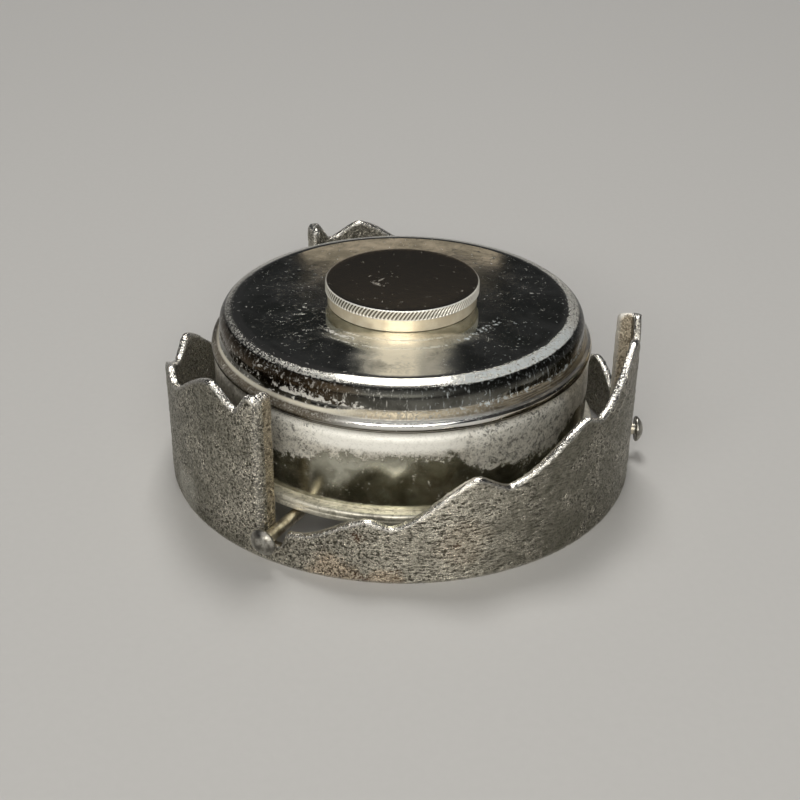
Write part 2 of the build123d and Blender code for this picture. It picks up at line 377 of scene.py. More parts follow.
def inner_thread(obj, bore_r, bottom, phase):
    """Raises one turn of thread inside a bore, from a height in millimetres and an angle in degrees."""
    depth = 0.4
    half_root = 0.3
    half_crest = 0.125
    run_out = 1 / 25
    at_bore = 0.02
    points = get_points(obj)
    r = plan_radius(points)
    share = (np.arctan2(points[:, 1], points[:, 0]) - math.radians(phase)) / TURN % 1
    away = np.abs(points[:, 2] - bottom - THREAD_PITCH * share)
    ridge = np.clip((half_root - away) / (half_root - half_crest), 0, 1)
    ends = np.clip(np.minimum(share, 1 - share) / run_out, 0, 1)
    push_out(obj, points, -depth * ridge * ends * (np.abs(r - bore_r) < at_bore))


def make_cap():
    """The screw cap: slightly dished top, leaning knurl, plain skirt and an inner thread."""
    knurl_r, foot, top = node_sizes("screw_cap")
    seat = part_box("top_cover")[1].z / MM
    knurl_reach = 0.4
    skirt_r = knurl_r - knurl_reach
    bore_r = 13.25
    knurl_bottom = top - 1.9
    under = top - 0.8
    dish = 0.12
    teeth = 124
    steps_per_tooth = 8
    skirt_foot = min(foot, seat + 0.04)
    fine_step = 0.16
    thread_start = 0.6
    thread_phase = 160
    corners = [
        (0, top, 0),
        (knurl_r, top, 0.28, fine_step),
        (knurl_r, knurl_bottom, 0.12),
        (skirt_r, knurl_bottom, 0.08),
        (skirt_r, skirt_foot, 0.15),
        (bore_r, skirt_foot, 0.15, fine_step),
        (bore_r, under, 0.15),
        (0, under, 0),
    ]
    cap = lathe("cap_body", corners, teeth * steps_per_tooth)
    knurl(cap, knurl_r, knurl_bottom + 0.05, top - 0.03, teeth, depth=0.34, lean=1.2)
    thread_bottom = seat + thread_start + THREAD_PITCH * (thread_phase / 360 - 0.5)
    inner_thread(cap, bore_r, thread_bottom, thread_phase)
    points = get_points(cap)
    share = np.clip(1 - plan_radius(points) / skirt_r, 0, 1)
    points[:, 2] -= dish * share * (2 - share) * (points[:, 2] > under - 0.1)
    set_points(cap, points)
    cap.data.flip_normals()
    return cap


def make_arm(index):
    """A straight rod with a domed finger head that has a soft rim."""
    low, high = (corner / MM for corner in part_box("arm_1"))
    rod_r = 1.15
    head_r = (high.z - low.z) / 2
    head = high.x - HEAD_RIM - HEAD_DOME
    dome_r = (head_r**2 + HEAD_DOME**2) / (2 * HEAD_DOME)
    dome_angle = math.asin(head_r / dome_r)
    dome_steps = 8
    steps = [dome_angle * (1 - i / dome_steps) for i in range(1, dome_steps)]
    arc = [(dome_r * math.sin(a), high.x - dome_r * (1 - math.cos(a)), 0) for a in steps]
    corners = [
        (0, low.x, 0),
        (rod_r, low.x, 0.1),
        (rod_r, head, 0.1),
        (head_r, head, 0.18),
        (head_r, head + HEAD_RIM, 0.16),
        *arc,
        (0, high.x, 0),
    ]
    arm = lathe(f"finger_arm_{index + 1}", corners, segments=96)
    points = get_points(arm)
    dents = 0.025 * wave(points, size=1.3, seed=21 + index)
    set_points(arm, points + get_normals(arm) * dents[:, None])
    raised = Matrix.Translation((0, 0, (low.z + high.z) / 2 * MM))
    stand = Matrix.Rotation(TURN / ARM_COUNT * index, 4, "Z") @ raised
    arm.data.transform(stand @ Matrix.Rotation(math.pi / 2, 4, "Y"))
    return arm


def strands(name, paths, radius, sides):
    """Thin closed tubes along paths of points in millimetres, as one mesh."""
    vertices, faces = [], []
    turns = np.arange(sides) * TURN / sides
    for path in paths:
        along = np.gradient(path, axis=0)
        along /= np.linalg.norm(along, axis=1)[:, None]
        side = np.cross(along, (0, 0, 1))
        side /= np.linalg.norm(side, axis=1)[:, None]
        up = np.cross(along, side)
        first = len(vertices)
        for centre, u, v in zip(path, side, up):
            vertices += [centre + radius * (u * math.cos(a) + v * math.sin(a)) for a in turns]
        last = len(vertices) - sides
        for start in range(first, last, sides):
            for i in range(sides):
                j = (i + 1) % sides
                faces.append([start + i, start + j, start + sides + j, start + sides + i])
        faces.append(list(range(first, first + sides))[::-1])
        faces.append(list(range(last, last + sides)))
    return make_object(name, vertices, faces)


def make_gauze():
    """Woven wire: two sets of wires that pass over and under each other."""
    outer_r, bottom, top = node_sizes("gauze_disc")
    middle = (bottom + top) / 2
    wire_r = 0.068
    rise = 0.07
    pitch = 0.72
    points_per_mesh = 4
    count = int(outer_r / pitch) - 1
    paths = []
    for number in range(-count, count + 1):
        across = number * pitch
        reach = math.sqrt(outer_r**2 - across**2) - wire_r
        along = np.linspace(-reach, reach, math.ceil(2 * reach / pitch * points_per_mesh))
        ripple = rise * np.cos(math.pi * (along / pitch + number))
        flat = np.full_like(along, across)
        paths.append(np.stack([along, flat, middle + ripple], 1))
        paths.append(np.stack([flat, along, middle - ripple], 1))
    return strands("gauze_weave", paths, wire_r, sides=5)


def wadding_sag(points):
    """How far the loose top of the wadding lies below its full height, at each plan position."""
    hollows = 0.7 * (1 + plan_wave(points, size=8, seed=31))
    tufts = 0.35 * (1 + plan_wave(points, size=1.8, seed=32))
    return hollows + tufts


def make_wadding():
    """The absorbent filling: lumpy, and hollowed out over the rivet's clinched end."""
    outer_r, bottom, top = node_sizes("wadding")
    rivet_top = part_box("hub_rivet")[1].z / MM
    pocket_r = 3.4
    pocket_gap = 0.4
    edge = 3
    corners = [
        (0, rivet_top + pocket_gap, 0),
        (pocket_r, rivet_top + pocket_gap, 0.2),
        (pocket_r, bottom, 0.2),
        (outer_r, bottom, 1.2),
        (outer_r, top, 2.2),
        (0, top, 0),
    ]
    wadding = lathe("wadding_body", corners, segments=280, run_step=0.7)
    points = get_points(wadding)
    radius = plan_radius(points)
    height = np.clip((points[:, 2] - bottom) / (top - bottom), 0, 1)
    side = np.clip((radius - outer_r + edge) / edge, 0, 1)
    tufts = 0.3 * (1 + wave(points, size=4, seed=33)) + 0.2 * (1 + wave(points, size=1.1, seed=34))
    points[:, 2] -= wadding_sag(points) * height**3
    push_out(wadding, points, -tufts * side)
    return wadding


def make_fibres():
    """Loose fibres that lie on the wadding's top."""
    outer_r, _, top = node_sizes("wadding")
    fibre_count = 420
    fibre_r = 0.055
    point_count = 11
    step = 0.55
    spread, wander = 0.35, 0.15
    edge_gap, top_gap = 1.2, 0.1
    chance = np.random.default_rng(7)
    paths = []
    for _ in range(fibre_count):
        x, y, _ = on_circle(outer_r * 0.95 * math.sqrt(chance.random()), chance.uniform(0, 360), 0)
        heading = chance.uniform(0, TURN)
        bend = chance.normal(0, spread)
        places = []
        for _ in range(point_count):
            places.append((x, y, 0))
            heading += bend + chance.normal(0, wander)
            x += step * math.cos(heading)
            y += step * math.sin(heading)
        path = np.array(places)
        path[:, :2] *= np.minimum(1, (outer_r - edge_gap) / np.maximum(plan_radius(path), 1))[:, None]
        lift = chance.uniform(0.05, 0.4) * np.sin(np.linspace(0, math.pi, len(path)))
        path[:, 2] = np.minimum(top - wadding_sag(path) + lift, top - top_gap)
        paths.append(path)
    return strands("wadding_fibres", paths, fibre_r, sides=4)


def make_ring():
    """The cast stand ring: the frame's shape with worn edges and a grainy skin."""
    voxel = 0.34
    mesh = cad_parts["stand_ring"].data.copy()
    edit = bmesh.new()
    edit.from_mesh(mesh)
    bmesh.ops.remove_doubles(edit, verts=edit.verts, dist=MM / 1000)
    edit.to_mesh(mesh)
    edit.free()
    ring = bpy.data.objects.new("cast_ring_body", mesh)
    bpy.context.scene.collection.objects.link(ring)
    remesh = ring.modifiers.new("remesh", "REMESH")
    remesh.mode = "VOXEL"
    remesh.voxel_size = voxel * MM
    smooth = ring.modifiers.new("smooth", "SMOOTH")
    smooth.factor = 0.5
    smooth.iterations = 4
    evaluated = ring.evaluated_get(bpy.context.evaluated_depsgraph_get())
    ring.modifiers.clear()
    ring.data = bpy.data.meshes.new_from_object(evaluated)
    ring.data.polygons.foreach_set("use_smooth", [True] * len(ring.data.polygons))
    grain_ring(ring)
    return ring


def edge_wear(obj):
    """How far each vertex stands out of its surroundings, from 0 to 1, so that worn edges can shine."""
    passes = 10
    least_stand, stand_range = 0.09, 0.22
    least_up, up_range, top_wear = 0.35, 0.45, 0.85
    points = get_points(obj)
    edges = np.empty(len(obj.data.edges) * 2, int)
    obj.data.edges.foreach_get("vertices", edges)
    a, b = edges.reshape(-1, 2).T
    count = np.bincount(np.concatenate((a, b)), minlength=len(points))[:, None]
    smooth = points.copy()
    for _ in range(passes):
        total = np.zeros_like(smooth)
        np.add.at(total, a, smooth[b])
        np.add.at(total, b, smooth[a])
        smooth = total / count
    stand = ((points - smooth) * get_normals(obj)).sum(1)
    upward = np.clip((get_normals(obj)[:, 2] - least_up) / up_range, 0, 1)
    return np.maximum(np.clip((stand - least_stand) / stand_range, 0, 1), top_wear * upward)


def store(obj, name, values):
    """Keeps one number per vertex, for the material."""
    obj.data.attributes.new(name, "FLOAT", "POINT").data.foreach_set("value", values.astype(np.float32))


def grain_ring(ring):
    """Lumps and grains of the casting, left out at the flat foot, and soft ridges across its upper edges."""
    middle_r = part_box("stand_ring")[1].y / MM - RING_WALL / 2
    grain_depth, ridge_depth = 0.12, 0.03
    inner_grain, top_grain = 0.7, 0.15
    bare_foot, foot_fade = 0.25, 0.8
    points = get_points(ring)
    normals = get_normals(ring)
    store(ring, "wear", edge_wear(ring))
    radius = plan_radius(points)
    outward = (normals[:, :2] * points[:, :2]).sum(1) / radius > 0.3
    upward = np.clip(normals[:, 2] * 1.6, 0, 1)
    skin = np.where(outward, 1, inner_grain) * (1 - (1 - top_grain) * upward)
    foot = np.clip((points[:, 2] - bare_foot) / foot_fade, 0, 1)
    lumps = 0.09 * wave(points, size=9, seed=11) + 0.06 * wave(points, size=3.2, seed=12)
    bend = np.stack([wave(points, size=1.4, seed=seed) for seed in (13, 14, 15)], 1)
    grains = wave((points + 0.6 * bend) * (0.6, 0.6, 1.0), size=0.8, seed=16)
    unrolled = points.copy()
    unrolled[:, :2] *= (middle_r / radius)[:, None]
    ridges = wave(unrolled, size=1.0, seed=17) * np.clip(normals[:, 2] * 2, 0, 1)
    push = foot * (lumps + grain_depth * skin * grains + ridge_depth * ridges)
    set_points(ring, points + normals * push[:, None])


# Materials

class Value:
    """An output of a node. Arithmetic with it adds Math nodes."""

    def __init__(self, paint, socket):
        self.paint = paint
        self.socket = socket

    def __add__(self, other):
        return self.paint.maths("ADD", self, other)

    def __sub__(self, other):
        return self.paint.maths("SUBTRACT", self, other)

    def __mul__(self, other):
        return self.paint.maths("MULTIPLY", self, other)

    def __truediv__(self, other):
        return self.paint.maths("DIVIDE", self, other)

    __radd__ = __add__


class Paint:
    """A node tree with one Principled shader, and short ways to add nodes to it.

    Radii, heights and sizes are in millimetres. Azimuths are in degrees, and 270 is the photograph's side.
    The colour is what the coats so far amount to.
    """

    def __init__(self, name):
        self.material = bpy.data.materials.new(name)
        self.material.use_nodes = True
        self.tree = self.material.node_tree
        self.shader = self.tree.nodes["Principled BSDF"]
        self.colour = None
        self.place = self.value("Object", "TexCoord")
        axes = (self.value(axis, "SeparateXYZ", {"Vector": self.place}) for axis in "XYZ")
        self.x, self.y, self.height = (axis / MM for axis in axes)
        self.radius = self.maths("POWER", self.x * self.x + self.y * self.y, 0.5)

    def put(self, socket, value):
        """Sets or links a socket."""
        if isinstance(value, Value):
            self.tree.links.new(value.socket, socket)
        elif socket.type == "RGBA":
            socket.default_value = (*value, 1)
        else:
            socket.default_value = value

    def node(self, kind, inputs=None, **settings):
        """A new node, with some of its settings made and some of its inputs set or linked."""
        node = self.tree.nodes.new("ShaderNode" + kind)
        for name, value in settings.items():
            setattr(node, name, value)
        for name, value in (inputs or {}).items():
            self.put(node.inputs[name], value)
        return node

    def value(self, output, kind, inputs=None, **settings):
        """One output of such a new node."""
        return Value(self, self.node(kind, inputs, **settings).outputs[output])

    def maths(self, operation, result, *values):
        """Math nodes that take in one value after another."""
        for value in values:
            result = self.value("Value", "Math", {0: result, 1: value}, operation=operation)
        return result

    def most(self, *values):
        """The largest of the values."""
        return self.maths("MAXIMUM", *values)

    def swing(self, texture, reach):
        """A texture from 0 to 1 turned into one about 0 that is reach wide."""
        return (texture - 0.5) * reach

    def noise(self, size, detail=4, roughness=0.55, warp=0, stretch=(1, 1, 1)):
        """Noise from 0 to 1 whose bumps are about size millimetres across."""
        inputs = {
            "Vector": self.value("Vector", "Mapping", {"Vector": self.place, "Scale": stretch}),
            "Scale": 1 / (size * MM),
            "Detail": detail,
            "Roughness": roughness,
            "Distortion": warp,
        }
        return self.value("Fac", "TexNoise", inputs)

    def attribute(self, name):
        """A number stored at each vertex of the mesh."""
        return self.value("Fac", "Attribute", attribute_name=name)

    def step(self, value, low, high):
        """0 below low, 1 above high, smooth between; the other way round if low is above high."""
        inputs = {"Value": value, "From Min": min(low, high), "From Max": max(low, high)}
        if low > high:
            inputs |= {"To Min": 1, "To Max": 0}
        return self.value("Result", "MapRange", inputs, interpolation_type="SMOOTHSTEP")

    def band(self, value, low, high, soft):
        """1 between low and high, fading to 0 over soft outside them."""
        return self.step(value, low - soft, low) * self.step(value, high + soft, high)

    def mix(self, share, a, b):
        """a where share is 0 and b where it is 1, both of them numbers or both colours."""
        colours = isinstance(a, tuple) or (isinstance(a, Value) and a.socket.type == "RGBA")
        node = self.node("Mix", data_type="RGBA" if colours else "FLOAT")
        wanted = "RGBA" if colours else "VALUE"
        self.put(node.inputs["Factor"], share)
        for name, value in (("A", a), ("B", b)):
            self.put(next(s for s in node.inputs if s.enabled and s.name == name and s.type == wanted), value)
        return Value(self, next(s for s in node.outputs if s.enabled and s.type == wanted))

    def facing(self, azimuth, half_width, soft=8):
        """1 within half_width degrees of an azimuth about Z, fading to 0 over soft degrees."""
        inputs = {0: self.place, 1: on_circle(1 / MM, azimuth, 0)}
        along = self.value("Value", "VectorMath", inputs, operation="DOT_PRODUCT")
        edges = [math.cos(math.radians(half_width + extra)) for extra in (soft, 0)]
        return self.step(along / self.most(self.radius, 0.01), *edges)

    def spot(self, centre, reach, ragged, texture):
        """1 near a point in millimetres, fading to 0 at reach, its edge made ragged by a texture."""
        inputs = {0: self.place, 1: [c * MM for c in centre]}
        distance = self.value("Value", "VectorMath", inputs, operation="DISTANCE") / MM
        return self.step(distance + self.swing(texture, ragged), reach, reach * 0.5)

    def spots(self, texture, *spots):
        """The most of several spots, each given by its centre, reach, raggedness and strength."""
        shares = [
            self.spot(centre, reach, ragged, texture) * strength
            for centre, reach, ragged, strength in spots
        ]
        return self.most(*shares)

    def bump(self, height, distance, strength=1.0):
        """Fine relief, distance millimetres high."""
        inputs = {"Distance": distance * MM, "Strength": strength, "Height": height}
        self.put(self.shader.inputs["Normal"], self.value("Normal", "Bump", inputs))

    def coat(self, share, colour):
        """Lays a colour over the colour so far."""
        self.colour = self.mix(share, self.colour, colour)

    def finish(self, roughness, metallic=1.0):
        """The finished material, in the colour so far."""
        self.put(self.shader.inputs["Base Color"], self.colour)
        self.put(self.shader.inputs["Roughness"], roughness)
        self.put(self.shader.inputs["Metallic"], metallic)
        return self.material


def cast_finish():
    """Dull nickel on a rough casting: glossy grains, dark pits, bright worn edges, brown stains."""
    paint = Paint("cast_ring")
    ring_r, _, _ = node_sizes("stand_ring")
    inner_r = ring_r - RING_WALL
    round_grain = paint.noise(0.46, detail=1.5, roughness=0.45, warp=1.0)
    long_grain = paint.noise(0.33, detail=2.5, roughness=0.6, warp=0.5, stretch=(0.22, 0.22, 1))
    streaked = paint.facing(288, 14, 18)
    grain = paint.mix(streaked * 0.65, round_grain, long_grain)
    fine = paint.noise(0.17, detail=2, roughness=0.6, stretch=(0.6, 0.6, 1))
    patch = paint.noise(6, detail=5, roughness=0.62, warp=0.5)
    wear = paint.attribute("wear")
    inside = paint.step(paint.radius, inner_r - 0.05, inner_r - 0.35)
    right_flange = inside * paint.facing(355, 5, 2)
    left_flange = inside * paint.facing(236, 5, 3)
    # Painted shade at both sides, left of the middle and at the left edge; paler high up at the left
    sides = paint.most(paint.facing(325, 18, 22), paint.facing(205, 18, 20) * 0.7)
    shaded_front_left = paint.facing(258, 10, 14)
    shade = streaked * 0.1 - sides * 0.43 - shaded_front_left * 0.16
    paler = paint.spot(on_circle(ring_r, 223, 12), 12, 5, patch)
    shade = shade + paler * 0.2 - paint.facing(205, 14, 9) * 0.16
    tone = 0.5 + paint.swing(patch, 1.1) + shade
    dark = paint.mix(tone, (0.055, 0.052, 0.041), (0.15, 0.138, 0.108))
    light = paint.mix(tone, (0.34, 0.32, 0.26), (0.9, 0.85, 0.72))
    grit = grain + paint.swing(fine, 0.35) + left_flange * 0.03
    smooth = patch - sides * 0.08
    calm = paint.step(smooth, 0.52, 0.4) * paint.mix(inside, paint.mix(sides, 0.5, 0.7), 0.0)
    level = paint.mix(calm, grit, 0.475)
    bright = paint.step(level, 0.41, 0.54)
    paint.colour = paint.mix(bright, dark, light)
    behind = paint.facing(80, 70, 40)
    paint.coat(behind * 0.4, (0.26, 0.245, 0.2))
    # Painted shade: dark olive patches on the shaded sides
    olive_shade = sides * paint.step(patch, 0.6, 0.4) * 0.3
    paint.coat(olive_shade, (0.13, 0.13, 0.09))
    scuff = paint.spot(on_circle(ring_r, 209, 4), 5.5, 5, patch)
    paint.coat(scuff * 0.25, (0.9, 0.88, 0.8))
    yellow = paint.mix(bright, (0.16, 0.12, 0.07), (0.74, 0.62, 0.43))
    paint.coat(left_flange * 0.5, yellow)
    warmed = paint.spots(
        patch,
        (on_circle(ring_r, 255, 0), 6, 6, 1),
        (on_circle(ring_r, 267, 0), 4, 5, 1),
        (on_circle(ring_r, 284, 8), 6, 6, 0.4),
    )
    warm = paint.mix(bright, (0.13, 0.085, 0.05), (0.84, 0.68, 0.5))
    paint.coat(warmed * 0.55, warm)
    ragged = patch * 0.4 + grain * 0.9
    stains = paint.spots(
        ragged,
        (on_circle(ring_r, 261, 9.2), 2.2, 7, 1),
        (on_circle(ring_r, 269.5, 2.6), 2.0, 7, 1),
        (on_circle(ring_r, 262.5, 0.6), 2.4, 7, 1),
        (on_circle(ring_r, 283, 7.5), 1.8, 7, 0.7),
    )
    paint.coat(stains * 0.75, (0.12, 0.062, 0.034))
    # The right flange's smooth face painted pale beige: partly its own colour, partly painted light
    pale = paint.mix(bright, (0.42, 0.35, 0.25), (0.88, 0.77, 0.6))
    paint.coat(right_flange * 0.9, pale)
    paint.coat(wear * 0.85, (1.0, 0.97, 0.9))
    grains = grain + fine * 0.35
    relief = grains * paint.mix(wear, 1.0, 0.15) * paint.mix(calm, 1.0, 0.6)
    paint.bump(relief, distance=0.6)
    rough = paint.mix(bright, 0.5, 0.27)
    rough = paint.mix(wear, rough, 0.2)
    rough = paint.mix(right_flange, rough, 0.5)
    return paint.finish(rough, paint.mix(right_flange * 0.5, 1.0, 0.2))


def cover_finish():
    """Mirror nickel with whitish deposits on its shoulder, a painted dark reflection on its skirt, a cream
    cove, and a beige veil before the cap that is mostly a painted reflection.
    """
    paint = Paint("polished_cover")
    _, _, top = node_sizes("top_cover")
    crystals = paint.noise(0.42, detail=5, roughness=0.75, warp=0.8)
    wisps = paint.noise(1.5, detail=9, roughness=0.78, warp=1.3)
    flecks = paint.noise(0.9, detail=7, roughness=0.75, warp=0.5)
    clouds = paint.noise(7, detail=5, roughness=0.6, warp=0.4)
    drips = paint.noise(0.5, detail=6, roughness=0.72, warp=0.15, stretch=(1, 1, 0.2))
    left = paint.facing(222, 24, 16)
    right = paint.facing(308, 28, 14)
    front = paint.facing(268, 5, 20)
    # Where the metal is: flat top, rounded shoulder, skirt, cove, hem
    outside = paint.step(paint.radius, 33.6, 34.3)
    flat = paint.step(paint.radius, 31.0, 30.1) * paint.step(paint.height, 32, 32.6)
    shoulder = paint.step(paint.radius, 30.9, 31.8) * paint.step(paint.height, 31.95, 32.25)
    skirt = paint.step(paint.radius, 32.3, 32.7) * paint.band(paint.height, 28.6, 31.9, 0.3)
    cove_height = paint.height + left * 0.8
    cove = outside * paint.band(cove_height, 26.9, 28.2, 0.5)
    cove_edge = outside * paint.band(cove_height, 28.2, 28.7, 0.5)
    hem = paint.step(paint.radius, 35.0, 35.3) * paint.step(paint.height, 25.3, 25.9)
    hem_foot_dark_reflection = outside * paint.step(paint.height, 25.9, 25.3)
    far_right = paint.facing(328, 18, 22)
    far_left = paint.facing(185, 38, 24)
    lines = paint.noise(0.3, detail=3, roughness=0.6, stretch=(0.05, 0.05, 1))
    # Green-black on the flat top; a painted dark reflection, dark grey to brown, on the skirt and the top of
    # the cove at the left; cream in the cove
    top_tone = paint.mix(paint.step(clouds, 0.35, 0.65), (0.3, 0.31, 0.27), (0.6, 0.6, 0.54))
    paint.colour = (0.66, 0.64, 0.58)
    paint.coat(flat, top_tone)
    skirt_reflection_tone = paint.mix(paint.step(clouds, 0.4, 0.6), (0.1, 0.098, 0.085), (0.19, 0.188, 0.168))
    above_cream = outside * left * paint.step(paint.height, 27.2, 27.6)
    paint.coat(paint.most(skirt, above_cream), skirt_reflection_tone)
    # Painted dark reflection: nearly black at the foot of the shoulder, dark brown on the skirt at the left
    brow_foot_dark_reflection = skirt * paint.step(paint.height, 29.6, 31.2)
    paint.coat(brow_foot_dark_reflection, (0.036, 0.036, 0.032))
    paint.coat(skirt * left, (0.06, 0.042, 0.024))
    cove_tone = paint.mix(paint.step(wisps, 0.42, 0.6), (0.4, 0.35, 0.26), (0.3, 0.26, 0.19))
    cream = cove * left
    paint.coat(cove, paint.mix(cream, cove_tone, (0.84, 0.79, 0.65)))
    whole_left = paint.most(left, far_left)
    paint.coat(hem, paint.mix(whole_left, (0.95, 0.94, 0.9), (0.12, 0.1, 0.07)))
    # Painted dark reflection under the hem, and painted shade in the crease between cove and hem
    paint.coat(hem_foot_dark_reflection, (0.2, 0.185, 0.155))
    crevice_shade = paint.band(paint.radius, 35.05, 35.35, 0.2)
    crevice_shade = crevice_shade * paint.band(paint.height, 27.0, 27.5, 0.2)
    paint.coat(crevice_shade * paint.mix(whole_left, 0.5, 0.0), (0.12, 0.1, 0.075))
    brown = paint.mix(paint.step(lines, 0.42, 0.58), (0.1, 0.075, 0.05), (0.62, 0.53, 0.38))
    worn_side = outside * far_right * paint.step(paint.height, 29.4, 28.2)
    paint.coat(worn_side * paint.mix(cove, 0.85, 0.6), brown)
    # A beige veil in front of the cap, mostly a painted reflection of the cap's lit skirt and partly haze:
    # straight towards the front, and a smear round the cap
    before_cap = flat * paint.step(paint.y, -13.5, -15)
    wandering = paint.x + paint.swing(clouds, 7)
    core = paint.band(wandering, -1.5, 1, 4) * 0.55
    wing = paint.band(wandering, -4, 5.5, 5.5) * 0.55
    smear = paint.facing(268, 38, 18) * paint.step(paint.radius, 22.5, 17) * 0.5
    streaks = paint.step(wisps * 0.6 + clouds * 0.4, 0.3, 0.56)
    veiled = before_cap * paint.most(core + wing, smear) * paint.mix(streaks, 0.6, 1.0)
    paint.coat(veiled, (0.95, 0.86, 0.66))
    scuffed = paint.spots(
        clouds,
        ((-19, 7, top), 11, 8, 1),
        ((-18, -10, top), 13, 8, 1),
        ((24, 4, top), 13, 8, 0.5),
        ((13, 19, top), 9, 7, 0.5),
        ((18, -14, top), 9, 7, 0.7),
    )
    # Painted highlights: two thin bright rings in front of the cap, laid on with the deposits
    inner_ripple = paint.band(paint.radius, 17.2, 17.4, 0.35)
    ripple_highlights = flat * paint.most(inner_ripple, paint.band(paint.radius, 20.4, 20.6, 0.45))
    ripple_highlights = ripple_highlights * paint.facing(264, 24, 14) * paint.step(wisps, 0.4, 0.6) * 0.55
    left_arc = paint.band(paint.radius, 18.5, 18.9, 0.9) * paint.facing(233, 6, 7)
    right_arc = paint.band(paint.radius, 19.2, 19.8, 1.3) * paint.facing(318, 9, 12) * 0.8
    arcs = paint.most(left_arc, right_arc) * flat
    outer = paint.step(paint.radius, 31.6, 32.6)
    shoulder = shoulder * paint.mix(whole_left, 1.0, outer)
    haze = paint.mix(right, paint.mix(far_left, 0.66, 0.34), 0.95)
    haze = shoulder * paint.mix(front, haze, 0.06)
    left_specks = skirt * paint.facing(226, 14, 12)
    low_specks = skirt * paint.facing(246, 9, 8) * paint.step(paint.height, 30.6, 28.6)
    spread = (
        flecks
        + left_specks * 0.06
        + low_specks * 0.15
        + cove_edge * paint.mix(left, paint.mix(front, 0.12, 0.05), 0.08)
        + arcs * 0.15
    )
    top_spread = wisps + scuffed * 0.07
    # Deposits, with the painted highlight rings among them
    deposit_and_highlights = paint.most(
        paint.step(spread, 0.63, 0.68),
        ripple_highlights,
        paint.step(top_spread, 0.61, 0.78) * flat * 0.42,
        paint.step(crystals, 0.66, 0.76) * flat * 0.3,
        paint.step(crystals, 0.6, 0.74) * skirt * 0.35,
        paint.step(crystals + haze * 0.15, 0.54, 0.68) * haze,
        skirt * paint.step(drips, 0.55, 0.66) * 0.55,
        cove * paint.step(crystals, 0.48, 0.66) * paint.mix(far_right, 0.6, 0.3),
    )
    white = paint.mix(right, (0.74, 0.72, 0.66), (0.6, 0.65, 0.66))
    dull = paint.mix(far_left, (0.42, 0.42, 0.39), (0.22, 0.225, 0.21))
    white = paint.mix(shoulder * paint.mix(right, 1.0, 0.0), white, dull)
    paint.coat(deposit_and_highlights, white)
    rough = paint.mix(cove, paint.mix(shoulder, 0.08, 0.24), 0.4)
    rough = paint.mix(brow_foot_dark_reflection, rough, 0.3)
    rough = paint.mix(paint.step(veiled, 0, 0.5), rough, 0.22)
    rough = paint.mix(deposit_and_highlights, rough, paint.mix(shoulder, 0.5, 0.7))
    soft_waves = paint.noise(3.5, detail=3, roughness=0.5) * 0.25
    crust = (wisps + crystals) * deposit_and_highlights
    paint.bump(crust + soft_waves, distance=0.06, strength=0.7)
    metal = paint.mix(deposit_and_highlights, paint.mix(paint.most(veiled, cream), 1.0, 0.2), 0.2)
    return paint.finish(rough, metal)


def cap_finish():
    """Mirror nickel on the cap, with silver teeth and a warm skirt."""
    paint = Paint("polished_cap")
    dust = paint.noise(1.3, detail=8, roughness=0.75, warp=0.8)
    clouds = paint.noise(4, detail=5, roughness=0.6)
    flat = paint.step(paint.radius, 14.32, 14.12) * paint.step(paint.height, 36.8, 37.0)
    side = paint.step(paint.radius, 13.6, 14)
    cluster = paint.spot((-4.3, -1.7, 37.2), 2.4, 2, clouds)
    specks = flat * paint.step(dust + cluster * 0.1, 0.63, 0.68) * 0.7
    teeth = side * paint.band(paint.height, 35.6, 37.0, 0.15)
    groove_shade = teeth * paint.step(paint.radius, 14.44, 14.26)
    skirt = side * paint.step(paint.height, 35.5, 35.3)
    rim_top = paint.step(paint.height, 37.05, 37.2)
    far_rim_shade = paint.facing(90, 60, 60) * rim_top
    near_rim_highlight = paint.facing(268, 25, 40) * rim_top
    # Painted highlight on the near side of the rim, painted shade on its far side
    paint.colour = paint.mix(near_rim_highlight, (0.95, 0.92, 0.83), (1.0, 0.99, 0.95))
    paint.coat(far_rim_shade, (0.16, 0.145, 0.12))
    paint.coat(flat, (0.4, 0.36, 0.29))
    # Painted shade in the knurl's grooves
    paint.coat(groove_shade * 0.95, (0.13, 0.11, 0.08))
    warm = paint.mix(paint.step(clouds, 0.4, 0.6), (0.86, 0.75, 0.56), (1.0, 0.9, 0.7))
    paint.coat(skirt, warm)
    paint.coat(specks, (0.6, 0.57, 0.5))
    paint.bump(paint.noise(1.6, detail=3, roughness=0.5), distance=0.01, strength=0.35)
    rough = paint.mix(skirt, paint.mix(flat, 0.26, 0.06), 0.19)
    metal = paint.mix(skirt, paint.mix(flat, 0.3, 1.0), 0.32)
    return paint.finish(paint.mix(specks, rough, 0.6), paint.mix(specks, metal, 0.1))


